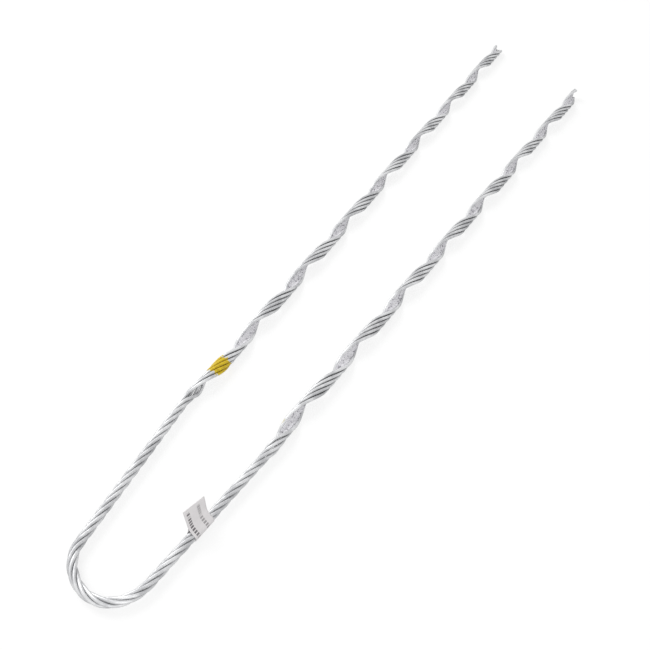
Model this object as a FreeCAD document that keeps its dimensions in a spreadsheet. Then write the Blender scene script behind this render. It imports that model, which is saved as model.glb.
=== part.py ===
import FreeCAD, Part

import math
import os

import Sketcher
from FreeCAD import Placement, Rotation, Vector

# Guy grip dead-end for a 6.35 mm guy strand, in millimetres, lying flat with +Z up.
# Five galvanised wires run side by side from tip to tip. In both legs they form an open helical
# ribbon that wraps the strand, and between the legs they close up into a round rope, bent into an eye.
# +Y runs from the eye to the tips. The origin is under the middle of the part, on its resting plane.

doc = FreeCAD.newDocument("GuyGripDeadEnd")

DIMENSIONS = [
    ("wire_diameter", 2.1, "galvanised steel wire"),
    ("wire_count", 5, "wires side by side"),
    ("wire_sides", 6, "flats of the polygon that stands for a round wire"),
    ("stations_per_turn", 8, "wire sections in one turn of the lay"),
    ("grip_bore", 5.1, "free inner diameter of a leg's wires, tighter than the strand"),
    ("leg_play", 0.2, "room between neighbouring wires in the legs"),
    ("rope_play", 0.04, "room between neighbouring wires in the closed rope"),
    ("long_leg_pitch", 63.7, "one turn of the long leg's helix, as it lies"),
    ("short_leg_pitch", 62.4, "one turn of the short leg's helix, as it lies"),
    ("rope_lay", 43.0, "one turn of the closed rope"),
    ("long_leg_length", 494.0, "crossover to tip, long leg"),
    ("short_leg_length", 461.0, "crossover to tip, short leg"),
    ("long_rope_length", 130.3, "crossover to the eye's bend, long side"),
    ("short_rope_length", 119.3, "crossover to the eye's bend, short side"),
    ("closing_length", 25.0, "run over which the ribbon closes into the rope"),
    ("long_shift_length", 22.0, "run over which the long side's rope comes onto its own line"),
    ("short_shift_length", 16.0, "run over which the short side's rope comes onto its own line"),
    ("long_shift", 4.4, "rope axis outside the long leg's axis at the crossover"),
    ("short_shift", 2.3, "rope axis outside the short leg's axis at the crossover"),
    ("eye_radius", 24.1, "bend radius of the eye at the rope's axis"),
    ("eye_sway", 1.15, "how far the sprung bend strays from a true arc, inwards and then outwards"),
    ("long_rope_angle", 6.6, "degrees the long side's rope leans out from +Y"),
    ("short_rope_angle", 3.3, "degrees the short side's rope leans out from +Y"),
    ("leg_angle", 1.84, "degrees each leg leans out from +Y"),
    ("tip_phase", 225.4, "degrees round the axis of the ribbon's middle wire at the long tip"),
    ("lining_wall", 0.3, "grit and adhesive inside the ribbon"),
    ("lining_setback", 6.0, "bare wire between the lining and the tip"),
    ("mark_length", 16.5, "painted stretch at each crossover"),
    ("mark_offset", 3.3, "crossover to the near edge of the painted stretch"),
    ("mark_thickness", 0.1, "coat of paint"),
    ("label_width", 15.3, "label along the rope"),
    ("label_height", 17.3, "highest corner of the label above the rope's axis"),
    ("label_paper", 0.2, "one layer of the label"),
    ("label_clearance", 0.1, "room between the rope and the paper round it"),
    ("label_distance", 78.6, "crossover to the middle of the label, along the short side's rope"),
    ("label_lean", 19.0, "degrees the label leans in over the eye"),
    ("label_skew", 8.2, "degrees the label leans towards the tips, as it is folded slightly askew"),
]

sheet = doc.addObject("Spreadsheet::Sheet", "Dimensions")
for row, (alias, value, note) in enumerate(DIMENSIONS, start=1):
    sheet.set(f"A{row}", note)
    sheet.set(f"B{row}", str(value))
    sheet.setAlias(f"B{row}", alias)
doc.recompute()


def size(alias):
    return float(sheet.get(alias))


UP = Vector(0, 0, 1)
FULL_TURN = 2 * math.pi

wireCount = int(size("wire_count"))
wireSides = int(size("wire_sides"))
wireRadius = size("wire_diameter") / 2


def layAngle(radius, lay):
    """Angle between a wire and the axis it winds round."""
    return math.atan(FULL_TURN * radius / lay)


# Ring of wire centres in the legs, and the angle from one wire to the next round that ring.
legRing = size("grip_bore") / 2 + wireRadius
legSpacing = size("wire_diameter") + size("leg_play")
legLean = layAngle(legRing, size("short_leg_pitch"))
legGap = 2 * math.asin(legSpacing / math.cos(legLean) / (2 * legRing))

# The closed rope: the wires lie close all round, so the ring follows from their spacing.
ropeGap = FULL_TURN / wireCount
ropeSpacing = size("wire_diameter") + size("rope_play")
straightRing = ropeSpacing / (2 * math.sin(ropeGap / 2))
ropeRing = straightRing / math.cos(layAngle(straightRing, size("rope_lay")))
ropeRadius = ropeRing + wireRadius

# Distances along the guide line, from the long leg's tip round the eye to the short leg's tip.
longTip = 0.0
longCrossover = size("long_leg_length")
bendStart = longCrossover + size("long_rope_length")
bendTurn = math.pi - math.radians(size("long_rope_angle") + size("short_rope_angle"))
bendEnd = bendStart + size("eye_radius") * bendTurn
shortCrossover = bendEnd + size("short_rope_length")
shortTip = shortCrossover + size("short_leg_length")


def smooth(start, end, at):
    """0 before start, 1 after end, with a soft change between them."""
    t = min(max((at - start) / (end - start), 0.0), 1.0)
    return t * t * (3 - 2 * t)


def mix(first, second, share):
    return first * (1 - share) + second * share


def leaning(side, degrees):
    """Horizontal direction towards the tips, leaning out to one side (-1 long, 1 short)."""
    angle = math.radians(degrees)
    return Vector(side * math.sin(angle), math.cos(angle), 0)


class Side:
    """One half of the part: its rope's line, its leg's line and where they meet at the crossover."""

    def __init__(self, side, name):
        self.ropeDirection = leaning(side, size(name + "_rope_angle"))
        self.legDirection = leaning(side, size("leg_angle"))
        self.outward = self.ropeDirection.cross(UP) * side
        self.bendPoint = self.outward * size("eye_radius")
        self.ropeAtCrossover = self.bendPoint + self.ropeDirection * size(name + "_rope_length")
        self.legAtCrossover = self.ropeAtCrossover - self.outward * size(name + "_shift")
        self.shiftLength = size(name + "_shift_length")

    def point(self, along):
        """Point of the guide line, along mm beyond the crossover towards the tip."""
        onLeg = self.legAtCrossover + self.legDirection * along
        onRope = self.ropeAtCrossover + self.ropeDirection * along
        return mix(onLeg, onRope, smooth(0, self.shiftLength, -along))


longSide = Side(-1, "long")
shortSide = Side(1, "short")


def guide(at):
    """Point of the guide line, the axis that all the wires wind round."""
    if at < bendStart:
        return longSide.point(longCrossover - at)
    if at > bendEnd:
        return shortSide.point(at - shortCrossover)
    share = (at - bendStart) / (bendEnd - bendStart)
    sway = size("eye_sway") * math.sin(FULL_TURN * share) * math.sin(math.pi * share)
    reach = longSide.outward * (size("eye_radius") - sway)
    return Rotation(UP, math.degrees(bendTurn * share)).multVec(reach)


def closed(at):
    """0 where the wires are an open ribbon, 1 where they are a closed rope."""
    run = size("closing_length")
    onLongSide = smooth(longCrossover, longCrossover + run, at)
    onShortSide = smooth(shortCrossover, shortCrossover - run, at)
    return onLongSide * onShortSide


def twistRate(at):
    """Turns per mm of the wires round the guide line."""
    pitch = size("long_leg_pitch") if at < bendStart else size("short_leg_pitch")
    return mix(1 / pitch, 1 / size("rope_lay"), closed(at))


def makeStations():
    """Stations along the guide line with their phase, about the same share of a turn apart."""
    longestStep = size("short_leg_pitch") / size("stations_per_turn")
    at, phase = longTip, math.radians(size("tip_phase"))
    stations = [(at, phase)]
    while shortTip - at > wireRadius:
        step = min(longestStep, 1 / (twistRate(at + longestStep / 2) * size("stations_per_turn")))
        step = (shortTip - at) / math.ceil((shortTip - at) / step)
        turns = step * (twistRate(at) + 4 * twistRate(at + step / 2) + twistRate(at + step)) / 6
        at, phase = at + step, phase + FULL_TURN * turns
        stations.append((at, phase))
    return stations


def wireCentre(index, at, phase):
    """Centre of one wire, counted from one edge of the ribbon."""
    nudge = 0.01
    along = (guide(at + nudge) - guide(at - nudge)).normalize()
    across = UP.cross(along)
    ring = mix(legRing, ropeRing, closed(at))
    gap = mix(legGap, ropeGap, closed(at))
    angle = phase + (index - (wireCount - 1) / 2) * gap
    return guide(at) + (across * math.cos(angle) + UP * math.sin(angle)) * ring


def wireSection(index, at, phase):
    """Corners of one wire's section. The first one points away from the guide line."""
    nudge = 0.01
    turn = FULL_TURN * twistRate(at) * nudge
    centre = wireCentre(index, at, phase)
    ahead = wireCentre(index, at + nudge, phase + turn)
    behind = wireCentre(index, at - nudge, phase - turn)
    along = (ahead - behind).normalize()
    away = centre - guide(at)
    away = (away - along * away.dot(along)).normalize()
    beside = along.cross(away)
    corners = []
    for corner in range(wireSides):
        angle = FULL_TURN * corner / wireSides
        corners.append(centre + (away * math.cos(angle) + beside * math.sin(angle)) * wireRadius)
    return corners


def ruledSolid(sections):
    """Solid through closed sections with the same number of corners, joined by straight edges."""
    wires = [Part.makePolygon(corners + corners[:1]) for corners in sections]
    return Part.makeLoft(wires, True, True)


def addFeature(name, label, shape):
    feature = doc.addObject("Part::Feature", name)
    feature.Label = label
    feature.Shape = shape
    return feature


stations = makeStations()
derivedAliases = []
subParts = []

for index in range(wireCount):
    sections = [wireSection(index, at, phase) for at, phase in stations]
    subParts.append(addFeature(f"Wire{index + 1}", f"wire_{index + 1}", ruledSolid(sections)))


def phaseAt(place):
    """Phase of the ribbon's middle wire at any distance along the guide line."""
    for (a, phaseA), (b, phaseB) in zip(stations, stations[1:]):
        if a <= place <= b:
            return mix(phaseA, phaseB, (place - a) / (b - a))
    return stations[-1][1]


def derive(alias, value, note):
    """Put a size that follows from the others in the sheet, for the sketches to use."""
    derivedAliases.append(alias)
    row = len(DIMENSIONS) + len(derivedAliases)
    sheet.set(f"A{row}", note)
    sheet.set(f"B{row}", str(value))
    sheet.setAlias(f"B{row}", alias)


# Sizes of the helical bands in the legs: the lining inside the wires and the paint outside them.
# The wires' corners swing in to the lining's radius halfway between two stations.
stationDip = math.cos(math.pi / size("stations_per_turn"))
liningCover = (wireCount - 1) * legGap
markCover = liningCover + 2 * math.asin(wireRadius / (2 * legRing))
derive("lining_outer", size("grip_bore") / 2 * stationDip, "outside of the lining, under the wires")
derive("lining_open", 1 - liningCover / FULL_TURN, "open share of the lining's turn")
derive("mark_inner", legRing + wireRadius, "inside of the paint, on the wires' crests")
derive("mark_open", 1 - markCover / FULL_TURN, "open share of the paint's turn")
derive("wrap_radius", ropeRadius + size("label_clearance"), "inside of the label's fold")
doc.recompute()


def basePlane(body, role):
    for plane in body.Origin.OriginFeatures:
        if plane.Role == role:
            return plane


def addSketch(body, name, role="XY_Plane"):
    sketch = body.newObject("Sketcher::SketchObject", name)
    sketch.AttachmentSupport = (basePlane(body, role), [""])
    sketch.MapMode = "FlatFace"
    return sketch


def bind(sketch, constraint, name, expression):
    """Add a constraint, name it and bind it to the sheet."""
    sketch.renameConstraint(sketch.addConstraint(constraint), name)
    sketch.setExpression("Constraints." + name, expression)


def addCircle(sketch, name, expression):
    """Circle round the sketch's origin, its radius bound to the sheet."""
    circle = sketch.addGeometry(Part.Circle(Vector(), UP, 1))
    sketch.addConstraint(Sketcher.Constraint("Coincident", circle, 3, -1, 1))
    bind(sketch, Sketcher.Constraint("Radius", circle, 1), name, expression)


def addOutline(sketch, corners):
    """Closed chain of straight lines through the corners."""
    for start, end in zip(corners, corners[1:] + corners[:1]):
        sketch.addGeometry(Part.LineSegment(start, end))
    for line in range(len(corners)):
        following = (line + 1) % len(corners)
        sketch.addConstraint(Sketcher.Constraint("Coincident", line, 2, following, 1))


def addRectangle(sketch, left, right, low, high):
    """Rectangle whose four sides are expressions, each a distance from the sketch's origin."""
    addOutline(sketch, [Vector(1, 1, 0), Vector(2, 1, 0), Vector(2, 2, 0), Vector(1, 2, 0)])
    for line, direction in enumerate(("Horizontal", "Vertical", "Horizontal", "Vertical")):
        sketch.addConstraint(Sketcher.Constraint(direction, line))
    bind(sketch, Sketcher.Constraint("DistanceX", -1, 1, 0, 1, 1), "left", left)
    bind(sketch, Sketcher.Constraint("DistanceX", -1, 1, 0, 2, 2), "right", right)
    bind(sketch, Sketcher.Constraint("DistanceY", -1, 1, 0, 1, 1), "low", low)
    bind(sketch, Sketcher.Constraint("DistanceY", -1, 1, 1, 2, 2), "high", high)


def addPad(body, name, sketch, length):
    pad = body.newObject("PartDesign::Pad", name)
    pad.Profile = sketch
    pad.setExpression("Length", length)
    sketch.Visibility = False
    doc.recompute()
    return pad


def addBand(name, label, inner, outer, openShare, pitch, length):
    """Tube round its own Z axis, cut open by a helical gap whose middle starts on +X."""
    body = doc.addObject("PartDesign::Body", name)
    body.Label = label
    ring = addSketch(body, name + "Ring")
    addCircle(ring, "inside", inner)
    addCircle(ring, "outside", outer)
    addPad(body, name + "Tube", ring, length)
    opening = addSketch(body, name + "Opening", "XZ_Plane")
    clear = "Dimensions.wire_diameter / 2"
    addRectangle(
        opening,
        left=f"{inner} - {clear}",
        right=f"{outer} + {clear}",
        low=f"-{pitch} * (1 + {openShare} / 2)",
        high=f"-{pitch} * (1 - {openShare} / 2)",
    )
    cut = body.newObject("PartDesign::SubtractiveHelix", name + "Gap")
    cut.Profile = opening
    cut.ReferenceAxis = (opening, ["V_Axis"])
    cut.Mode = "pitch-height-angle"
    cut.setExpression("Pitch", pitch)
    cut.setExpression("Height", f"{length} + 2 * {pitch}")
    opening.Visibility = False
    doc.recompute()
    return body


def placeBand(body, side, near):
    """Put a band round a leg, from the distance near outwards, open where its ribbon is open."""
    if side is longSide:
        along = longCrossover - near
        middleWire = math.pi - phaseAt(near)
    else:
        along = near - shortCrossover
        middleWire = phaseAt(near)
    axis = side.legDirection
    turn = Rotation(UP.cross(axis), UP, axis, "ZYX")
    openSide = Rotation(Vector(0, 0, 1), math.degrees(middleWire + math.pi))
    body.Placement = Placement(side.point(along), turn * openSide)
    subParts.append(body)


for side, name in ((longSide, "long"), (shortSide, "short")):
    lining = addBand(
        name.title() + "Lining",
        f"grit_lining_{name}_leg",
        inner="Dimensions.lining_outer - Dimensions.lining_wall",
        outer="Dimensions.lining_outer",
        openShare="Dimensions.lining_open",
        pitch=f"Dimensions.{name}_leg_pitch",
        length=f"(Dimensions.{name}_leg_length - Dimensions.lining_setback)",
    )
    mark = addBand(
        name.title() + "Mark",
        f"colour_mark_{name}_leg",
        inner="Dimensions.mark_inner",
        outer="Dimensions.mark_inner + Dimensions.mark_thickness",
        openShare="Dimensions.mark_open",
        pitch=f"Dimensions.{name}_leg_pitch",
        length="Dimensions.mark_length",
    )
    outwards = -1 if side is longSide else 1
    crossover = longCrossover if side is longSide else shortCrossover
    placeBand(lining, side, crossover)
    placeBand(mark, side, crossover + outwards * size("mark_offset"))

# Label: one strip folded round the rope, its two ends stuck together as a flag.
label = doc.addObject("PartDesign::Body", "Label")
label.Label = "folded_label"
fold = addSketch(label, "FoldSketch")
addCircle(fold, "inside", "Dimensions.wrap_radius")
addCircle(fold, "outside", "Dimensions.wrap_radius + Dimensions.label_paper")
addPad(label, "Fold", fold, "Dimensions.label_width").SideType = "Symmetric"
flag = addSketch(label, "FlagSketch", "YZ_Plane")
skew = math.radians(size("label_skew"))
foot = Vector(size("wrap_radius"), -size("label_width") / 2, 0)
side = Vector(math.cos(skew), math.sin(skew), 0) * size("label_height")
edge = Vector(0, size("label_width"), 0)
addOutline(flag, [foot, foot + side, foot + side + edge, foot + edge])
flag.addConstraint(Sketcher.Constraint("Vertical", 3))
flag.addConstraint(Sketcher.Constraint("Parallel", 0, 2))
flag.addConstraint(Sketcher.Constraint("Perpendicular", 0, 1))
bind(flag, Sketcher.Constraint("Angle", 0, skew), "skew", "Dimensions.label_skew")
footing = "Dimensions.wrap_radius + Dimensions.label_paper / 2"
bind(flag, Sketcher.Constraint("DistanceX", -1, 1, 0, 1, 5), "foot", footing)
bind(flag, Sketcher.Constraint("DistanceX", -1, 1, 0, 2, 9), "height", "Dimensions.label_height")
bind(flag, Sketcher.Constraint("DistanceY", 0, 1, -1, 1, 7), "half", "Dimensions.label_width / 2")
bind(flag, Sketcher.Constraint("DistanceY", 3, 2, 3, 1, 9), "width", "Dimensions.label_width")
addPad(label, "Flag", flag, "2 * Dimensions.label_paper").SideType = "Symmetric"
doc.recompute()

# The flag stands up from the short side's rope and leans in over the eye.
ropeDirection = shortSide.ropeDirection
labelTurn = Rotation(UP.cross(ropeDirection), UP, ropeDirection, "ZYX")
lean = Rotation(Vector(0, 0, 1), -size("label_lean"))
label.Placement = Placement(shortSide.point(-size("label_distance")), labelTurn * lean)
subParts.append(label)

# Lay the part on its resting plane, with the origin under its middle.
box = FreeCAD.BoundBox()
for subPart in subParts:
    box.add(subPart.Shape.optimalBoundingBox(False, False))
rest = Placement(Vector(-box.Center.x, -box.Center.y, -box.ZMin), Rotation())
for subPart in subParts:
    subPart.Placement = rest * subPart.Placement
doc.recompute()

for item in doc.Objects:
    if "Invalid" in item.State or "Error" in item.State:
        raise RuntimeError(f"{item.Label} failed: {item.State}")
for subPart in subParts:
    if subPart.Shape.isNull() or not subPart.Shape.isValid():
        raise RuntimeError(f"{subPart.Label} has no valid shape")

os.makedirs("parts", exist_ok=True)
for subPart in subParts:
    subPart.Shape.exportStep(f"parts/{subPart.Label}.step")
    print(f"{subPart.Label}: {subPart.Shape.Volume:.1f} mm3, {len(subPart.Shape.Faces)} faces")
print(f"{len(stations)} stations, {box.XLength:.1f} x {box.YLength:.1f} x {box.ZLength:.1f} mm")
print(f"eye centre at {rest.Base.x:.2f}, {rest.Base.y:.2f}, {rest.Base.z:.2f} mm")
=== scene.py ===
import math

import bpy
from mathutils import Matrix, Vector


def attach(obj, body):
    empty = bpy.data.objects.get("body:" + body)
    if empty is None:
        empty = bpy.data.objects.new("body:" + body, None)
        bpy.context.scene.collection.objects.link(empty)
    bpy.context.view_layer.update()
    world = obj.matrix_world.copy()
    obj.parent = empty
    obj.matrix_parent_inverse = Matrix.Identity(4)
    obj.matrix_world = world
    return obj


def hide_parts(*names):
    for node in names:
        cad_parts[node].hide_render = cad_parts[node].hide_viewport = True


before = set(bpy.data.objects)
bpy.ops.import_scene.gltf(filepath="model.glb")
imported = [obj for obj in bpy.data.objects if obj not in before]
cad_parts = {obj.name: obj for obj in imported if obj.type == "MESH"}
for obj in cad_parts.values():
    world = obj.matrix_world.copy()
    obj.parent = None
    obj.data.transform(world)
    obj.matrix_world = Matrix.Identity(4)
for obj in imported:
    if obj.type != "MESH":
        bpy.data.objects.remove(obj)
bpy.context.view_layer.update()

scene = bpy.context.scene
scene.view_settings.view_transform = "Standard"
up = Vector((0, 0, 1))
fullTurn = 2 * math.pi

cameraPlace = dict(
    location=(0.22398, -0.44237, 0.42849), azimuth=31.595, pitch=45.661, lens=48.628,
    sensor=36, nearClip=0.01,
)

cameraData = bpy.data.cameras.new("photoCamera")
cameraData.sensor_width = cameraPlace["sensor"]
cameraData.lens = cameraPlace["lens"]
cameraData.clip_start = cameraPlace["nearClip"]
camera = bpy.data.objects.new("photoCamera", cameraData)
camera.location = cameraPlace["location"]
camera.rotation_euler = (math.radians(90 - cameraPlace["pitch"]), 0, math.radians(cameraPlace["azimuth"]))
scene.collection.objects.link(camera)
scene.camera = camera
print("camera set")


def plug(tree, value, socket):
    if isinstance(value, bpy.types.NodeSocket):
        tree.links.new(value, socket)
    else:
        socket.default_value = value


# settings are the node's own, values go to its sockets by name or number
def put(tree, kind, values=None, **settings):
    node = tree.nodes.new(kind)
    for name, value in settings.items():
        setattr(node, name, value)
    for key, value in (values or {}).items():
        plug(tree, value, node.inputs[key])
    return node


def calc(tree, operation, *values):
    node = put(tree, "ShaderNodeMath", dict(enumerate(values)), operation=operation)
    return node.outputs[0]


def vec(tree, operation, *values):
    node = put(tree, "ShaderNodeVectorMath", dict(enumerate(values)), operation=operation)
    return node.outputs["Value" if operation in ("DOT_PRODUCT", "LENGTH") else "Vector"]


def scaled(tree, vector, factor):
    node = put(tree, "ShaderNodeVectorMath", {0: vector, "Scale": factor}, operation="SCALE")
    return node.outputs["Vector"]


def blend(tree, share, first, second):
    node = put(tree, "ShaderNodeMix", {0: share, 2: first, 3: second}, data_type="FLOAT")
    return node.outputs[0]


def ramp(tree, value, low, high, toLow=0.0, toHigh=1.0, smooth=True):
    values = {0: value, 1: low, 2: high, 3: toLow, 4: toHigh}
    kind = "SMOOTHSTEP" if smooth else "LINEAR"
    return put(tree, "ShaderNodeMapRange", values, interpolation_type=kind).outputs[0]


def read(tree, name, kind="FLOAT"):
    node = put(tree, "GeometryNodeInputNamedAttribute", {"Name": name}, data_type=kind)
    return node.outputs["Attribute"]


def keep(tree, geometry, name, value, kind="FLOAT", domain="POINT"):
    values = {"Geometry": geometry, "Name": name, "Value": value}
    return put(tree, "GeometryNodeStoreNamedAttribute", values, data_type=kind, domain=domain).outputs[0]


def newTree(name, inputs):
    tree = bpy.data.node_groups.new(name, "GeometryNodeTree")
    tree.interface.new_socket("Geometry", in_out="INPUT", socket_type="NodeSocketGeometry")
    for label, kind in inputs:
        tree.interface.new_socket(label, in_out="INPUT", socket_type="NodeSocket" + kind)
    tree.interface.new_socket("Geometry", in_out="OUTPUT", socket_type="NodeSocketGeometry")
    return tree, tree.nodes.new("NodeGroupInput").outputs


# every tree ends with smooth faces, sharp edges past an angle, a real mesh and its material
def endTree(tree, geometry, material, sharpAngle):
    soft = put(tree, "GeometryNodeSetShadeSmooth", {"Geometry": geometry, "Shade Smooth": True}).outputs[0]
    edge = tree.nodes.new("GeometryNodeInputMeshEdgeAngle").outputs["Unsigned Angle"]
    isSharp = calc(tree, "GREATER_THAN", edge, sharpAngle)
    values = {"Geometry": soft, "Selection": isSharp, "Shade Smooth": False}
    creased = put(tree, "GeometryNodeSetShadeSmooth", values, domain="EDGE").outputs[0]
    real = put(tree, "GeometryNodeRealizeInstances", {"Geometry": creased}).outputs[0]
    painted = put(tree, "GeometryNodeSetMaterial", {"Geometry": real, "Material": material}).outputs[0]
    out = tree.nodes.new("NodeGroupOutput")
    tree.links.new(painted, out.inputs[0])


# runs a tree on a start mesh and keeps what comes out as a plain mesh
def bake(name, startMesh, tree, values, material, slot, *nodes):
    carrier = bpy.data.objects.new(name + "Start", startMesh)
    scene.collection.objects.link(carrier)
    modifier = carrier.modifiers.new("shape", "NODES")
    modifier.node_group = tree
    for socket in tree.interface.items_tree:
        if socket.in_out == "INPUT" and socket.name in values:
            modifier[socket.identifier] = values[socket.name]
        if socket.in_out == "INPUT" and socket.name == "Material":
            modifier[socket.identifier] = material
    bpy.context.view_layer.update()
    evaluated = carrier.evaluated_get(bpy.context.evaluated_depsgraph_get())
    mesh = bpy.data.meshes.new_from_object(evaluated)
    mesh.name = name
    carrier.modifiers.remove(modifier)
    bpy.data.objects.remove(carrier)
    return addPiece(name, mesh, material, slot, *nodes)


def addPiece(name, mesh, material, slot, *nodes):
    piece = bpy.data.objects.new(name, mesh)
    scene.collection.objects.link(piece)
    if not mesh.materials:
        mesh.materials.append(material)
    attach(piece, "root")
    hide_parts(*nodes)
    print(f"{name}: {sum(len(p.vertices) - 2 for p in mesh.polygons)} triangles")
    return piece


# the whole grip: metres and degrees, along from the long tip round the eye to the short one
grip = dict(
    wireDiameter=0.0021, wireCount=5, legPlay=0.0002, ropePlay=0.00004, bore=0.0051,
    ropeLay=0.0430, closing=0.025, eyeRadius=0.0241, eyeSway=0.00115, tipPhase=225.4,
    eyeCentre=(0.00391, -0.29727, 0.00475), step=0.001,
)
longSide = dict(
    side=-1, leg=0.494, rope=0.1303, pitch=0.0637,
    ropeAngle=6.6, legAngle=1.84, shift=0.0044, shiftRun=0.022,
)
shortSide = dict(
    side=1, leg=0.461, rope=0.1193, pitch=0.0624,
    ropeAngle=3.3, legAngle=1.84, shift=0.0023, shiftRun=0.016,
)

wireRadius = grip["wireDiameter"] / 2
legRing = grip["bore"] / 2 + wireRadius
legLean = math.atan(fullTurn * legRing / shortSide["pitch"])
legGap = 2 * math.asin((grip["wireDiameter"] + grip["legPlay"]) / math.cos(legLean) / (2 * legRing))
ropeGap = fullTurn / grip["wireCount"]
straightRing = (grip["wireDiameter"] + grip["ropePlay"]) / (2 * math.sin(ropeGap / 2))
ropeRing = straightRing / math.cos(math.atan(fullTurn * straightRing / grip["ropeLay"]))
ropeRadius = ropeRing + wireRadius

longCrossover = longSide["leg"]
bendStart = longCrossover + longSide["rope"]
bendTurn = math.pi - math.radians(longSide["ropeAngle"] + shortSide["ropeAngle"])
bendEnd = bendStart + grip["eyeRadius"] * bendTurn
shortCrossover = bendEnd + shortSide["rope"]
shortTip = shortCrossover + shortSide["leg"]


def smooth(start, end, at):
    t = min(max((at - start) / (end - start), 0.0), 1.0)
    return t * t * (3 - 2 * t)


def leaning(side, degrees):
    angle = math.radians(degrees)
    return Vector((side * math.sin(angle), math.cos(angle), 0))


for side in (longSide, shortSide):
    side["ropeLine"] = leaning(side["side"], side["ropeAngle"])
    side["legLine"] = leaning(side["side"], side["legAngle"])
    side["outward"] = side["ropeLine"].cross(up) * side["side"]
    side["bend"] = Vector(grip["eyeCentre"]) + side["outward"] * grip["eyeRadius"]
    side["ropeEnd"] = side["bend"] + side["ropeLine"] * side["rope"]
    side["legStart"] = side["ropeEnd"] - side["outward"] * side["shift"]


def sidePoint(side, along):
    onLeg = side["legStart"] + side["legLine"] * along
    onRope = side["ropeEnd"] + side["ropeLine"] * along
    return onLeg.lerp(onRope, smooth(0, side["shiftRun"], -along))


# from the long tip, round the eye, to the short tip
def guide(at):
    if at < bendStart:
        return sidePoint(longSide, longCrossover - at)
    if at > bendEnd:
        return sidePoint(shortSide, at - shortCrossover)
    share = (at - bendStart) / (bendEnd - bendStart)
    sway = grip["eyeSway"] * math.sin(fullTurn * share) * math.sin(math.pi * share)
    across = Matrix.Rotation(bendTurn * share, 3, "Z") @ longSide["outward"]
    return Vector(grip["eyeCentre"]) + across * (grip["eyeRadius"] - sway)


def closed(at):
    run = grip["closing"]
    onLongSide = smooth(longCrossover, longCrossover + run, at)
    onShortSide = smooth(shortCrossover, shortCrossover - run, at)
    return onLongSide * onShortSide


def turnsPerMetre(at):
    pitch = longSide["pitch"] if at < bendStart else shortSide["pitch"]
    share = closed(at)
    return (1 - share) / pitch + share / grip["ropeLay"]


# angle of the ribbon's middle round the guide line, from its value at an earlier place
def phaseFrom(start, phase, at, fine=0.0005):
    count = max(1, math.ceil((at - start) / fine))
    run = (at - start) / count
    for number in range(count):
        phase += fullTurn * turnsPerMetre(start + (number + 0.5) * run) * run
    return phase


def phaseAt(at):
    return phaseFrom(0.0, math.radians(grip["tipPhase"]), at)


# chain of points that carries what the trees need to lay wires round it
def guideMesh(name, start, end, step):
    count = max(2, round((end - start) / step)) + 1
    nudge = 0.00001
    rows = []
    at, phase = start, phaseAt(start)
    for number in range(count):
        goal = start + (end - start) * number / (count - 1)
        phase = phaseFrom(at, phase, goal) if goal > at else phase
        at = goal
        ahead = (guide(at + nudge) - guide(at - nudge)).normalized()
        row = dict(place=guide(at), across=up.cross(ahead), phase=phase, closing=closed(at), along=at)
        rows.append(row)
    mesh = bpy.data.meshes.new(name)
    mesh.from_pydata([row["place"] for row in rows], [(i, i + 1) for i in range(count - 1)], [])
    for title in ("phase", "closing", "along"):
        layer = mesh.attributes.new(title, "FLOAT", "POINT")
        layer.data.foreach_set("value", [row[title] for row in rows])
    layer = mesh.attributes.new("across", "FLOAT_VECTOR", "POINT")
    layer.data.foreach_set("vector", [part for row in rows for part in row["across"]])
    return mesh


print("guide line ready")


def newEffect(name, inputs, outputs):
    tree = bpy.data.node_groups.new(name, "ShaderNodeTree")
    for label, kind, default in inputs:
        socket = tree.interface.new_socket(label, in_out="INPUT", socket_type="NodeSocket" + kind)
        if default is not None:
            socket.default_value = default
    for label in outputs:
        tree.interface.new_socket(label, in_out="OUTPUT", socket_type="NodeSocketFloat")
    return tree, tree.nodes.new("NodeGroupInput").outputs, tree.nodes.new("NodeGroupOutput").inputs


def noise(tree, vector, scale, detail=3.0, roughness=0.55):
    values = {"Vector": vector, "Scale": scale, "Detail": detail, "Roughness": roughness}
    return put(tree, "ShaderNodeTexNoise", values).outputs[0]


# coarse stains, fine stains and separate specks, for every material
def mottlingEffect():
    inputs = [
        ("Coordinates", "Vector", None), ("Coarse Scale", "Float", 60.0),
        ("Fine Scale", "Float", 1500.0), ("Half Band", "Float", 0.22),
    ]
    tree, given, out = newEffect("mottling", inputs, ["Coarse", "Fine", "Speckle"])
    coarse = noise(tree, given["Coordinates"], given["Coarse Scale"])
    fine = noise(tree, given["Coordinates"], given["Fine Scale"], 2.0)
    low = calc(tree, "SUBTRACT", 0.5, given["Half Band"])
    high = calc(tree, "ADD", 0.5, given["Half Band"])
    values = {"Vector": given["Coordinates"], "Scale": given["Fine Scale"]}
    cells = put(tree, "ShaderNodeTexVoronoi", values)
    tree.links.new(ramp(tree, coarse, low, high), out["Coarse"])
    tree.links.new(ramp(tree, fine, low, high), out["Fine"])
    tree.links.new(cells.outputs["Color"], out["Speckle"])
    return tree


mottling = mottlingEffect()


# a material with its shader, object coordinates and the mottling on them
def newMaterial(name, coarse, fine):
    material = bpy.data.materials.new(name)
    material.use_nodes = True
    tree = material.node_tree
    tree.nodes.clear()
    shader = tree.nodes.new("ShaderNodeBsdfPrincipled")
    out = tree.nodes.new("ShaderNodeOutputMaterial")
    tree.links.new(shader.outputs[0], out.inputs[0])
    place = tree.nodes.new("ShaderNodeTexCoord").outputs["Object"]
    effect = put(tree, "ShaderNodeGroup", node_tree=mottling)
    for key, value in {"Coordinates": place, "Coarse Scale": coarse, "Fine Scale": fine}.items():
        plug(tree, value, effect.inputs[key])
    return material, tree, shader, effect.outputs


def mixColour(tree, share, first, second):
    node = put(tree, "ShaderNodeMix", {0: share, 6: first, 7: second}, data_type="RGBA")
    return node.outputs[2]


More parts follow.
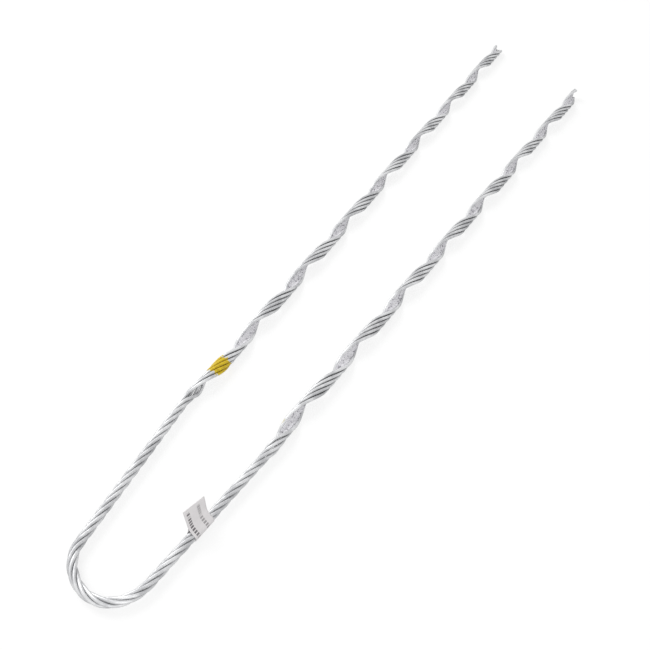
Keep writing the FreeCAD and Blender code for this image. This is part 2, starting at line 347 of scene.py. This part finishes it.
def bump(tree, shader, height, strength, distance):
    node = put(tree, "ShaderNodeBump", {"Height": height, "Strength": strength, "Distance": distance})
    tree.links.new(node.outputs[0], shader.inputs["Normal"])


def setRoughness(tree, shader, share, finish):
    rough = ramp(tree, share, 0, 1, finish["smoothest"], finish["roughest"])
    tree.links.new(rough, shader.inputs["Roughness"])


def meshValue(tree, name):
    return put(tree, "ShaderNodeAttribute", attribute_name=name).outputs["Fac"]


wireFinish = dict(
    bright=(0.84, 0.845, 0.855, 1), dull=(0.47, 0.475, 0.49, 1), oxide=(0.80, 0.80, 0.81, 1),
    # the near-black colour below is painted shade, laid in the grooves where neighbouring wires shade each
    # other
    paintedGrooveShade=(0.09, 0.093, 0.10, 1), metallic=0.45, smoothest=0.32, roughest=0.54,
    rimShade=(0.34, 0.345, 0.355, 1), rimShare=0.75, rimFrom=0.45, rimTo=0.95,
    streaks=13.0, streakLength=22.0, streakShare=0.6, blotches=90.0, blotchShare=0.4,
    dullFrom=0.25, dullTo=0.75, specks=2200.0, speckShare=0.25,
    scratch=0.00006, scratchStrength=0.25, speckRelief=0.3,
)


def galvanisedMaterial(finish):
    material, tree, shader, stains = newMaterial("galvanisedWire", finish["blotches"], finish["specks"])
    along = calc(tree, "MULTIPLY", meshValue(tree, "along"), finish["streakLength"])
    around = calc(tree, "MULTIPLY", meshValue(tree, "around"), fullTurn)
    axes = {0: calc(tree, "COSINE", around), 1: calc(tree, "SINE", around), 2: along}
    drawn = put(tree, "ShaderNodeCombineXYZ", axes).outputs[0]
    streaks = noise(tree, drawn, finish["streaks"], 2.0)
    blotches = calc(tree, "MULTIPLY", stains["Coarse"], finish["blotchShare"])
    stained = calc(tree, "MULTIPLY_ADD", streaks, finish["streakShare"], blotches)
    dullness = ramp(tree, stained, finish["dullFrom"], finish["dullTo"])
    colour = mixColour(tree, dullness, finish["bright"], finish["dull"])
    specks = calc(tree, "MULTIPLY", stains["Fine"], finish["speckShare"])
    colour = mixColour(tree, specks, colour, finish["oxide"])
    # painted shade: each wire turns near-black in the grooves beside its neighbours
    colour = mixColour(tree, meshValue(tree, "groove"), colour, finish["paintedGrooveShade"])
    grazing = put(tree, "ShaderNodeLayerWeight", {"Blend": 0.5}).outputs["Facing"]
    rim = ramp(tree, grazing, finish["rimFrom"], finish["rimTo"])
    rim = calc(tree, "MULTIPLY", rim, finish["rimShare"])
    colour = mixColour(tree, rim, colour, finish["rimShade"])
    tree.links.new(colour, shader.inputs["Base Color"])
    shader.inputs["Metallic"].default_value = finish["metallic"]
    setRoughness(tree, shader, dullness, finish)
    relief = calc(tree, "MULTIPLY_ADD", stains["Fine"], finish["speckRelief"], streaks)
    bump(tree, shader, relief, finish["scratchStrength"], finish["scratch"])
    return material


gritFinish = dict(
    light=(0.93, 0.925, 0.945, 1), dark=(0.16, 0.15, 0.19, 1), glue=(0.80, 0.79, 0.84, 1),
    patches=700.0, glueShare=0.6, grains=1000.0, darkShare=0.24, darkEdge=0.05, darkDepth=0.65,
    smoothest=0.55, roughest=0.95, shine=0.4, relief=0.00018, reliefStrength=0.6,
)


def gritMaterial(finish):
    material, tree, shader, stains = newMaterial("gritLining", finish["patches"], finish["grains"])
    glued = calc(tree, "MULTIPLY", stains["Coarse"], finish["glueShare"])
    pale = mixColour(tree, glued, finish["light"], finish["glue"])
    share, edge = finish["darkShare"], finish["darkEdge"]
    dark = ramp(tree, stains["Speckle"], share + edge, share - edge)
    dark = calc(tree, "MULTIPLY", dark, finish["darkDepth"])
    colour = mixColour(tree, dark, pale, finish["dark"])
    tree.links.new(colour, shader.inputs["Base Color"])
    setRoughness(tree, shader, stains["Speckle"], finish)
    shader.inputs["Specular IOR Level"].default_value = finish["shine"]
    grains = calc(tree, "ADD", stains["Speckle"], stains["Fine"])
    bump(tree, shader, grains, finish["reliefStrength"], finish["relief"])
    return material


paintFinish = dict(
    thick=(0.90, 0.67, 0.006, 1), thin=(0.62, 0.42, 0.010, 1), bare=(0.76, 0.75, 0.62, 1),
    shade=(0.30, 0.20, 0.006, 1), patches=600.0, specks=3000.0, grooveTop=0.85, grooveFoot=0.2,
    grooveShare=0.5, bareUpTo=0.80, coveredFrom=0.99, smoothest=0.38, roughest=0.55,
    relief=0.0001, reliefStrength=0.3,
)


def paintMaterial(finish):
    material, tree, shader, stains = newMaterial("yellowPaint", finish["patches"], finish["specks"])
    colour = mixColour(tree, stains["Coarse"], finish["thick"], finish["thin"])
    groove = ramp(tree, meshValue(tree, "crest"), finish["grooveTop"], finish["grooveFoot"])
    groove = calc(tree, "MULTIPLY", groove, finish["grooveShare"])
    colour = mixColour(tree, groove, colour, finish["shade"])
    covered = ramp(tree, meshValue(tree, "cover"), finish["bareUpTo"], finish["coveredFrom"])
    colour = mixColour(tree, covered, finish["bare"], colour)
    tree.links.new(colour, shader.inputs["Base Color"])
    setRoughness(tree, shader, stains["Coarse"], finish)
    bump(tree, shader, stains["Coarse"], finish["reliefStrength"], finish["relief"])
    return material


labelFinish = dict(
    paper=(0.95, 0.925, 0.93, 1), aged=(0.80, 0.775, 0.785, 1), ink=(0.10, 0.09, 0.10, 1),
    rows=((0.17, 0.9), (0.665, 0.6)), rowHalf=0.07, rowShift=10, cells=27.0, gap=0.36,
    top=0.045, bottom=0.60, faintest=0.35, faintUpTo=0.5, patches=180.0, fibres=4000.0, agedShare=0.35,
    smoothest=0.55, roughest=0.70, relief=0.00005, reliefStrength=0.12,
)


# plain bars stand for the print: 1 on a bar, 0 off it, with no letters among them
def printBars(tree, finish):
    uv = put(tree, "ShaderNodeUVMap", uv_map="print").outputs[0]
    split = put(tree, "ShaderNodeSeparateXYZ", {0: uv})
    across, down = split.outputs[0], split.outputs[1]
    below = calc(tree, "GREATER_THAN", down, finish["top"])
    above = calc(tree, "LESS_THAN", down, finish["bottom"])
    printed = calc(tree, "MULTIPLY", below, above)
    bars = None
    for centre, strength in finish["rows"]:
        aside = calc(tree, "ABSOLUTE", calc(tree, "SUBTRACT", across, centre))
        inRow = calc(tree, "LESS_THAN", aside, finish["rowHalf"])
        cell = calc(tree, "MULTIPLY_ADD", down, finish["cells"], finish["rowShift"] * centre)
        onBar = calc(tree, "GREATER_THAN", calc(tree, "FRACT", cell), finish["gap"])
        chance = {"W": calc(tree, "FLOOR", cell)}
        worn = put(tree, "ShaderNodeTexWhiteNoise", chance, noise_dimensions="1D").outputs[0]
        kept = ramp(tree, worn, 0.0, finish["faintUpTo"], finish["faintest"], 1.0)
        depth = calc(tree, "MULTIPLY", kept, strength)
        row = calc(tree, "MULTIPLY", calc(tree, "MULTIPLY", inRow, onBar), depth)
        bars = row if bars is None else calc(tree, "MAXIMUM", bars, row)
    return calc(tree, "MULTIPLY", bars, printed)


def labelMaterial(finish):
    material, tree, shader, stains = newMaterial("labelPaper", finish["patches"], finish["fibres"])
    aged = calc(tree, "MULTIPLY", stains["Coarse"], finish["agedShare"])
    colour = mixColour(tree, aged, finish["paper"], finish["aged"])
    colour = mixColour(tree, printBars(tree, finish), colour, finish["ink"])
    tree.links.new(colour, shader.inputs["Base Color"])
    setRoughness(tree, shader, stains["Fine"], finish)
    bump(tree, shader, stains["Fine"], finish["reliefStrength"], finish["relief"])
    return material


galvanised = galvanisedMaterial(wireFinish)
grit = gritMaterial(gritFinish)
yellowPaint = paintMaterial(paintFinish)
paper = labelMaterial(labelFinish)
print("materials ready")


wires = dict(
    sides=14, wander=0.00006, wanderRate=45.0, wanderSeed=7.3, chamfer=0.0009, cutEnd=0.80,
    tipStagger=(0.0011, 0.0, 0.0017, 0.0004, 0.0022), sharpAngle=0.7,
    # grooves: how dark the painted shade in them is, and where on a wire's flank it starts and ends, as
    # height out of the lay
    legGroove=0.95, ropeGroove=0.26, outerFlank=(0.92, 0.15), innerFlank=(-0.9, -0.6), freeEdge=0.15,
)
layInputs = [
    ("Wire Count", "Float"), ("Wire Diameter", "Float"), ("Sides", "Int"), ("Leg Ring", "Float"),
    ("Rope Ring", "Float"), ("Leg Gap", "Float"), ("Rope Gap", "Float"), ("Wander", "Float"),
    ("Material", "Material"),
]
layValues = {
    "Wire Count": float(grip["wireCount"]), "Wire Diameter": grip["wireDiameter"], "Sides": wires["sides"],
    "Leg Ring": legRing, "Rope Ring": ropeRing, "Leg Gap": legGap, "Rope Gap": ropeGap,
    "Wander": wires["wander"],
}


# unit vector at an angle round the guide line: 0 is across it, a quarter turn is up
def spoke(tree, across, angle):
    rise = put(tree, "ShaderNodeCombineXYZ", {2: calc(tree, "SINE", angle)}).outputs[0]
    return vec(tree, "ADD", scaled(tree, across, calc(tree, "COSINE", angle)), rise)


# where one wire lies round the guide line: its direction from the line, and its offset
def layOffset(tree, given, number):
    closing = read(tree, "closing")
    ring = blend(tree, closing, given["Leg Ring"], given["Rope Ring"])
    gap = blend(tree, closing, given["Leg Gap"], given["Rope Gap"])
    middle = calc(tree, "MULTIPLY", calc(tree, "SUBTRACT", given["Wire Count"], 1.0), 0.5)
    angle = calc(tree, "MULTIPLY_ADD", calc(tree, "SUBTRACT", number, middle), gap, read(tree, "phase"))
    ownSeed = calc(tree, "MULTIPLY", number, wires["wanderSeed"])
    seed = calc(tree, "MULTIPLY_ADD", read(tree, "along"), wires["wanderRate"], ownSeed)
    values = {"W": seed, "Scale": 1.0, "Detail": 1.0}
    wander = put(tree, "ShaderNodeTexNoise", values, noise_dimensions="1D").outputs[0]
    drift = calc(tree, "MULTIPLY", calc(tree, "MULTIPLY", wander, closing), given["Wander"])
    away = spoke(tree, read(tree, "across", "FLOAT_VECTOR"), angle)
    return away, scaled(tree, away, calc(tree, "ADD", ring, drift))


# a swept wire's own outward direction, and how far it points out of the lay: 1 on the wire's crest
def crest(tree):
    here = tree.nodes.new("GeometryNodeInputPosition").outputs[0]
    fromCentre = vec(tree, "SUBTRACT", here, read(tree, "centre", "FLOAT_VECTOR"))
    outwards = vec(tree, "NORMALIZE", fromCentre)
    return outwards, vec(tree, "DOT_PRODUCT", outwards, read(tree, "away", "FLOAT_VECTOR"))


# moves a line onto a wire's place and keeps what crest needs
def layLine(tree, given, line, number):
    away, offset = layOffset(tree, given, number)
    line = keep(tree, line, "away", away, "FLOAT_VECTOR")
    line = put(tree, "GeometryNodeSetPosition", {"Geometry": line, "Offset": offset}).outputs[0]
    here = tree.nodes.new("GeometryNodeInputPosition").outputs[0]
    return keep(tree, line, "centre", here, "FLOAT_VECTOR")


# 1 or 0 for the ribbon's first wire, and for its last: the limits lie halfway between whole numbers
def edgeWires(tree, given, number):
    beforeLast = calc(tree, "SUBTRACT", given["Wire Count"], 1.5)
    return calc(tree, "LESS_THAN", number, 0.5), calc(tree, "GREATER_THAN", number, beforeLast)


# painted shade in the grooves: 1 beside a neighbouring wire, 0 on the crest, inside the lay and at the
# ribbon's free edges
def grooveShade(tree, given):
    outwards, height = crest(tree)
    outer = ramp(tree, height, *wires["outerFlank"])
    flank = calc(tree, "MULTIPLY", outer, ramp(tree, height, *wires["innerFlank"]))
    closing = read(tree, "closing")
    isFirst, isLast = edgeWires(tree, given, given["Wire"])
    opened = calc(tree, "SUBTRACT", 1.0, closing)
    edge = calc(tree, "MULTIPLY", calc(tree, "SUBTRACT", isFirst, isLast), opened)
    ahead = vec(tree, "CROSS_PRODUCT", read(tree, "across", "FLOAT_VECTOR"), up)
    beside = vec(tree, "CROSS_PRODUCT", read(tree, "away", "FLOAT_VECTOR"), ahead)
    freeSide = calc(tree, "MULTIPLY", vec(tree, "DOT_PRODUCT", outwards, beside), edge)
    shaded = calc(tree, "MULTIPLY", flank, ramp(tree, freeSide, wires["freeEdge"], -wires["freeEdge"]))
    depth = blend(tree, closing, given["Leg Groove"], given["Rope Groove"])
    return calc(tree, "MULTIPLY", shaded, depth)


def wireProfile(tree, given):
    radius = calc(tree, "MULTIPLY", given["Wire Diameter"], 0.5)
    values = {"Resolution": given["Sides"], "Radius": radius}
    return put(tree, "GeometryNodeCurvePrimitiveCircle", values).outputs[0]


def wireTree():
    inputs = layInputs + [
        ("Wire", "Float"), ("Start Trim", "Float"), ("End Trim", "Float"), ("Length", "Float"),
        ("Chamfer", "Float"), ("Cut End", "Float"), ("Leg Groove", "Float"), ("Rope Groove", "Float"),
    ]
    tree, given = newTree("laidWire", inputs)
    line = put(tree, "GeometryNodeMeshToCurve", {"Mesh": given["Geometry"]}).outputs[0]
    line = layLine(tree, given, line, given["Wire"])
    along = read(tree, "along")
    fromStart = calc(tree, "SUBTRACT", along, given["Start Trim"])
    fromEnd = calc(tree, "SUBTRACT", calc(tree, "SUBTRACT", given["Length"], given["End Trim"]), along)
    nearest = calc(tree, "MINIMUM", fromStart, fromEnd)
    values = {"Geometry": line, "Selection": calc(tree, "LESS_THAN", nearest, 0.0)}
    line = put(tree, "GeometryNodeDeleteGeometry", values, domain="POINT").outputs[0]
    taper = ramp(tree, nearest, 0.0, given["Chamfer"], given["Cut End"], 1.0)
    turn = tree.nodes.new("GeometryNodeSplineParameter").outputs["Factor"]
    circle = keep(tree, wireProfile(tree, given), "around", turn)
    values = {"Curve": line, "Profile Curve": circle, "Scale": taper, "Fill Caps": True}
    body = put(tree, "GeometryNodeCurveToMesh", values).outputs[0]
    # stores the painted groove shade for the wire material
    body = keep(tree, body, "groove", grooveShade(tree, given))
    endTree(tree, body, given["Material"], wires["sharpAngle"])
    return tree


laidWire = wireTree()
wholeGuide = guideMesh("wholeGuide", 0.0, shortTip, grip["step"])
for number in range(grip["wireCount"]):
    stagger = wires["tipStagger"]
    values = dict(layValues, Wire=float(number), Length=shortTip, Chamfer=wires["chamfer"])
    values.update({"Cut End": wires["cutEnd"], "Leg Groove": wires["legGroove"]})
    values["Rope Groove"] = wires["ropeGroove"]
    values["Start Trim"] = stagger[number]
    values["End Trim"] = stagger[-1 - number]
    name = f"galvanisedWire{number + 1}"
    bake(name, wholeGuide, laidWire, values, galvanised, "galvanised_wire", f"wire_{number + 1}")
print("wires ready")


lining = dict(
    inner=0.00212, outer=0.00272, halfCover=1.50, setback=0.006, startLap=0.004,
    grain=0.00024, grainSize=0.0007, grainBand=(0.3, 0.7), ragged=0.16, raggedScale=350.0,
    raggedBand=(0.25, 0.75), points=54, innerShare=0.72, step=0.0004, sharpAngle=1.2,
    ringStart=0.001,  # radius of the swept ring before its points are moved to their places
)


def liningTree():
    inputs = [
        ("Start", "Vector"), ("Direction", "Vector"), ("Across", "Vector"), ("Phase", "Float"),
        ("Twist", "Float"), ("Length", "Float"), ("Step", "Float"), ("Half Cover", "Float"),
        ("Inner Radius", "Float"), ("Outer Radius", "Float"), ("Inner Share", "Float"),
        ("Grain", "Float"), ("Grain Size", "Float"), ("Ragged", "Float"), ("Points", "Int"),
        ("Material", "Material"),
    ]
    tree, given = newTree("gritSkin", inputs)
    end = scaled(tree, given["Direction"], given["Length"])
    line = put(tree, "GeometryNodeCurvePrimitiveLine", {"End": end}).outputs[0]
    count = calc(tree, "DIVIDE", given["Length"], given["Step"])
    line = put(tree, "GeometryNodeResampleCurve", {"Curve": line, "Count": count}).outputs[0]
    line = keep(tree, line, "along", tree.nodes.new("GeometryNodeSplineParameter").outputs["Length"])
    values = {"Resolution": given["Points"], "Radius": lining["ringStart"]}
    ring = put(tree, "GeometryNodeCurvePrimitiveCircle", values).outputs[0]
    ring = keep(tree, ring, "around", tree.nodes.new("GeometryNodeSplineParameter").outputs["Factor"])
    values = {"Curve": line, "Profile Curve": ring, "Fill Caps": True}
    skin = put(tree, "GeometryNodeCurveToMesh", values).outputs[0]
    # the ring's points go out along the inner face and back along the outer one
    around, along, share = read(tree, "around"), read(tree, "along"), given["Inner Share"]
    inside = calc(tree, "LESS_THAN", around, share)
    outAlong = ramp(tree, around, 0.0, share, -1.0, 1.0, smooth=False)
    backAlong = ramp(tree, around, share, 1.0, 1.0, -1.0, smooth=False)
    sweep = blend(tree, inside, backAlong, outAlong)
    flat = {0: calc(tree, "MULTIPLY", sweep, given["Inner Radius"]), 1: along}
    place = put(tree, "ShaderNodeCombineXYZ", flat).outputs[0]
    grains = noise(tree, place, calc(tree, "DIVIDE", 1.0, given["Grain Size"]), 2.0)
    wave = ramp(tree, noise(tree, place, lining["raggedScale"], 2.0), *lining["raggedBand"], -1.0, 1.0)
    reach = calc(tree, "MULTIPLY", wave, given["Ragged"])
    cover = calc(tree, "ADD", given["Half Cover"], reach)
    turned = calc(tree, "MULTIPLY_ADD", along, given["Twist"], given["Phase"])
    angle = calc(tree, "MULTIPLY_ADD", sweep, cover, turned)
    raised = calc(tree, "MULTIPLY", ramp(tree, grains, *lining["grainBand"]), given["Grain"])
    innerRadius = calc(tree, "SUBTRACT", given["Inner Radius"], raised)
    radius = blend(tree, inside, given["Outer Radius"], innerRadius)
    away = scaled(tree, spoke(tree, given["Across"], angle), radius)
    onAxis = vec(tree, "ADD", given["Start"], scaled(tree, given["Direction"], along))
    values = {"Geometry": skin, "Position": vec(tree, "ADD", onAxis, away)}
    skin = put(tree, "GeometryNodeSetPosition", values).outputs[0]
    endTree(tree, skin, given["Material"], lining["sharpAngle"])
    return tree


gritSkin = liningTree()
emptyMesh = bpy.data.meshes.new("emptyStart")
for name, side, crossover in (("long", longSide, longCrossover), ("short", shortSide, shortCrossover)):
    start = -lining["startLap"]
    twist = side["side"] * fullTurn / side["pitch"]
    values = {
        "Start": side["legStart"] + side["legLine"] * start, "Direction": side["legLine"],
        "Across": up.cross(side["legLine"] * side["side"]), "Phase": phaseAt(crossover) + twist * start,
        "Twist": twist, "Length": side["leg"] - lining["setback"] - start, "Step": lining["step"],
        "Half Cover": lining["halfCover"], "Inner Radius": lining["inner"], "Outer Radius": lining["outer"],
        "Inner Share": lining["innerShare"], "Grain": lining["grain"], "Grain Size": lining["grainSize"],
        "Ragged": lining["ragged"], "Points": lining["points"],
    }
    piece, node = f"gritLining{name.title()}Leg", f"grit_lining_{name}_leg"
    bake(piece, emptyMesh, gritSkin, values, grit, "grit", node)
print("linings ready")


mark = dict(
    length=0.0165, offset=0.0033, coat=0.00007, sink=0.00025, fade=0.0016, sharpAngle=1.2,
    ragged=0.0012, raggedScale=700.0, raggedBand=(0.25, 0.75), step=0.0003, sides=22, margin=0.002,
    facing=dict(long=-0.45, short=-0.2), facingRun=0.25,
    # painted length of the ribbon's first edge, middle and last edge
    shares=dict(long=(1.0, 1.0, 1.0), short=(0.0, 0.7, 0.4)), strength=dict(long=1.0, short=0.86),
)


def paintTree():
    inputs = layInputs + [
        ("Coat", "Float"), ("Sink", "Float"), ("Start", "Float"), ("Length", "Float"), ("Fade", "Float"),
        ("Ragged", "Float"), ("Facing", "Float"), ("First Share", "Float"), ("Middle Share", "Float"),
        ("Last Share", "Float"), ("Strength", "Float"),
    ]
    tree, given = newTree("paintCoat", inputs)
    line = put(tree, "GeometryNodeMeshToCurve", {"Mesh": given["Geometry"]}).outputs[0]
    values = {"Geometry": line, "Amount": given["Wire Count"]}
    copies = put(tree, "GeometryNodeDuplicateElements", values, domain="SPLINE").outputs
    number = copies["Duplicate Index"]
    isFirst, isLast = edgeWires(tree, given, number)
    share = blend(tree, isFirst, given["Middle Share"], given["First Share"])
    share = blend(tree, isLast, share, given["Last Share"])
    line = keep(tree, copies["Geometry"], "share", share)
    line = layLine(tree, given, line, number)
    values = {"Curve": line, "Profile Curve": wireProfile(tree, given), "Fill Caps": True}
    coat = put(tree, "GeometryNodeCurveToMesh", values).outputs[0]
    outwards, facing = crest(tree)
    here = tree.nodes.new("GeometryNodeInputPosition").outputs[0]
    uneven = ramp(tree, noise(tree, here, mark["raggedScale"], 2.0), *mark["raggedBand"], -1.0, 1.0)
    along = calc(tree, "MULTIPLY_ADD", uneven, given["Ragged"], read(tree, "along"))
    fromStart = calc(tree, "SUBTRACT", along, given["Start"])
    end = calc(tree, "MULTIPLY_ADD", given["Length"], read(tree, "share"), given["Start"])
    fromEnd = calc(tree, "SUBTRACT", end, along)
    inRun = ramp(tree, calc(tree, "MINIMUM", fromStart, fromEnd), 0.0, given["Fade"])
    facedFully = calc(tree, "ADD", given["Facing"], mark["facingRun"])
    faced = ramp(tree, facing, given["Facing"], facedFully)
    cover = calc(tree, "MULTIPLY", calc(tree, "MULTIPLY", inRun, faced), given["Strength"])
    coat = keep(tree, coat, "cover", cover)
    coat = keep(tree, coat, "crest", facing)
    sink = calc(tree, "MULTIPLY", given["Sink"], -1.0)  # uncovered stretches go under the wire's skin
    thickness = scaled(tree, outwards, blend(tree, read(tree, "cover"), sink, given["Coat"]))
    coat = put(tree, "GeometryNodeSetPosition", {"Geometry": coat, "Offset": thickness}).outputs[0]
    endTree(tree, coat, given["Material"], mark["sharpAngle"])
    return tree


paintCoat = paintTree()
markStarts = dict(
    long=longCrossover - mark["offset"] - mark["length"],
    short=shortCrossover + mark["offset"],
)
for name, start in markStarts.items():
    end = start + mark["length"]
    values = dict(layValues, Coat=mark["coat"], Sink=mark["sink"], Fade=mark["fade"], Start=start)
    values.update(Sides=mark["sides"], Ragged=mark["ragged"], Facing=mark["facing"][name])
    values.update(Length=mark["length"], Strength=mark["strength"][name])
    for title, share in zip(("First Share", "Middle Share", "Last Share"), mark["shares"][name]):
        values[title] = share
    line = guideMesh(name + "MarkGuide", start - mark["margin"], end + mark["margin"], mark["step"])
    piece, node = f"colourMark{name.title()}Leg", f"colour_mark_{name}_leg"
    bake(piece, line, paintCoat, values, yellowPaint, "yellow_paint", node)
print("marks ready")


label = dict(
    distance=0.0786, width=0.0153, height=0.0173, lean=19.0, skew=8.2, paper=0.00018,
    clearance=0.00014, sheetGap=0.00004, curl=0.0009, curlMiddle=0.35, join=2.0, leave=55.0,
    columns=24, sheetSteps=14, roundSteps=20,
)


# cross-section of the folded strip, from one free edge round the rope to the other
def labelStrip(size):
    radius = ropeRadius + size["clearance"] + size["paper"] / 2
    half = (size["paper"] + size["sheetGap"]) / 2
    join = radius * size["join"]
    leave = math.radians(size["leave"])
    onRound = Vector((radius * math.sin(leave), radius * math.cos(leave)))
    corner = Vector((half, onRound.y + (onRound.x - half) * math.tan(leave)))
    top, foot = Vector((half, size["height"])), Vector((half, join))
    steps = size["sheetSteps"]
    front = [top.lerp(foot, i / steps) for i in range(steps)]
    for i in range(steps):
        share = i / steps
        front.append(foot.lerp(corner, share).lerp(corner.lerp(onRound, share), share))
    turns = size["roundSteps"]
    angles = [leave + (math.pi - leave) * i / turns for i in range(turns + 1)]
    front += [Vector((radius * math.sin(angle), radius * math.cos(angle))) for angle in angles]
    return front + [Vector((-point.x, point.y)) for point in reversed(front[:-1])]


def labelSheet(size):
    strip = labelStrip(size)
    axis = shortSide["ropeLine"]
    centre = sidePoint(shortSide, -size["distance"])
    lean = math.radians(size["lean"])
    inwards = -shortSide["outward"]
    tall = up * math.cos(lean) + inwards * math.sin(lean)
    thick = axis.cross(tall)
    if thick.dot(inwards) > 0:
        thick = -thick  # the printed sheet faces away from the eye
    lengths = [0.0]
    for (x0, y0), (x1, y1) in zip(strip, strip[1:]):
        lengths.append(lengths[-1] + math.hypot(x1 - x0, y1 - y0))
    slope = math.tan(math.radians(size["skew"]))
    columns = size["columns"]
    verts, faces, uvs = [], [], []
    for (x, y), run in zip(strip, lengths):
        rise = max(0.0, y - ropeRadius)
        spread = smooth(ropeRadius, size["height"], y)
        for c in range(columns + 1):
            share = c / columns - 0.5
            lift = y - (share + 0.5) * size["width"] * slope * spread
            along = share * size["width"] + rise * slope
            bent = (rise / (size["height"] - ropeRadius)) ** 2
            bow = size["curl"] * bent * (size["curlMiddle"] + share)
            verts.append(centre + axis * along + tall * lift + thick * (x + bow))
            uvs.append((c / columns, run / lengths[-1]))
    for r in range(len(strip) - 1):
        for c in range(columns):
            a = r * (columns + 1) + c
            faces.append((a, a + 1, a + columns + 2, a + columns + 1))
    mesh = bpy.data.meshes.new("foldedLabel")
    mesh.from_pydata(verts, [], faces)
    layer = mesh.uv_layers.new(name="print")
    for loop in mesh.loops:
        layer.data[loop.index].uv = uvs[loop.vertex_index]
    mesh.shade_smooth()
    return mesh


def thickened(mesh, thickness):
    carrier = bpy.data.objects.new(mesh.name + "Start", mesh)
    scene.collection.objects.link(carrier)
    solid = carrier.modifiers.new("paper", "SOLIDIFY")
    solid.thickness = thickness
    solid.offset = 0
    bpy.context.view_layer.update()
    evaluated = carrier.evaluated_get(bpy.context.evaluated_depsgraph_get())
    finished = bpy.data.meshes.new_from_object(evaluated)
    bpy.data.objects.remove(carrier)
    return finished


addPiece("foldedLabel", thickened(labelSheet(label), label["paper"]), paper, "label_paper", "folded_label")
print("label ready")


studio = dict(
    reach=4.0, floorBounce=(0.58, 0.58, 0.58, 1), floorShown=(0.32, 0.32, 0.32, 1), floorLift=0.74,
    farLift=0.86, nearGround=0.7, farGround=2.0, floorRoughness=0.9, worldStrength=0.50,
)
lamps = dict(
    keyLamp=dict(place=(-1.15, 0.10, 1.1), power=12.0, size=1.0),
    fillLamp=dict(place=(0.75, -0.95, 0.9), power=6.0, size=1.4),
)


# 1 where the camera sees a surface, directly or mirrored in metal
def shownRay(tree):
    path = tree.nodes.new("ShaderNodeLightPath").outputs
    mirrored = calc(tree, "MAXIMUM", path["Is Glossy Ray"], path["Is Transmission Ray"])
    return calc(tree, "MAXIMUM", path["Is Camera Ray"], mirrored)


# the floor looks white, keeps the shadow and still throws its plain colour's light on the grip
def buildFloor(size):
    reach = size["reach"]
    corners = [(-reach, -reach, 0), (reach, -reach, 0), (reach, reach, 0), (-reach, reach, 0)]
    mesh = bpy.data.meshes.new("floor")
    mesh.from_pydata(corners, [], [(0, 1, 2, 3)])
    floor = bpy.data.objects.new("floor", mesh)
    scene.collection.objects.link(floor)
    material = bpy.data.materials.new("paleFloor")
    material.use_nodes = True
    tree = material.node_tree
    shader = tree.nodes["Principled BSDF"]
    shown = shownRay(tree)
    colour = mixColour(tree, shown, size["floorBounce"], size["floorShown"])
    tree.links.new(colour, shader.inputs["Base Color"])
    shader.inputs["Roughness"].default_value = size["floorRoughness"]
    shader.inputs["Specular IOR Level"].default_value = 0.0
    shader.inputs["Emission Color"].default_value = (1, 1, 1, 1)
    away = vec(tree, "LENGTH", tree.nodes.new("ShaderNodeTexCoord").outputs["Object"])
    lift = ramp(tree, away, size["nearGround"], size["farGround"], size["floorLift"], size["farLift"])
    lift = calc(tree, "MULTIPLY", shown, lift)  # more lift far off, where the lamps don't reach
    tree.links.new(lift, shader.inputs["Emission Strength"])
    mesh.materials.append(material)


def buildWorld(size):
    world = bpy.data.worlds.new("studio")
    world.use_nodes = True
    tree = world.node_tree
    background = tree.nodes["Background"]
    background.inputs["Color"].default_value = (1, 1, 1, 1)
    strength = blend(tree, shownRay(tree), size["worldStrength"], 1.0)
    tree.links.new(strength, background.inputs["Strength"])
    scene.world = world


def addLamp(name, size):
    data = bpy.data.lights.new(name, "AREA")
    data.energy = size["power"]
    data.size = size["size"]
    lamp = bpy.data.objects.new(name, data)
    lamp.location = size["place"]
    lamp.rotation_mode = "QUATERNION"
    lamp.rotation_quaternion = (-Vector(size["place"])).to_track_quat("-Z", "Y")
    scene.collection.objects.link(lamp)


buildFloor(studio)
buildWorld(studio)
for name, size in lamps.items():
    addLamp(name, size)
print("studio ready")
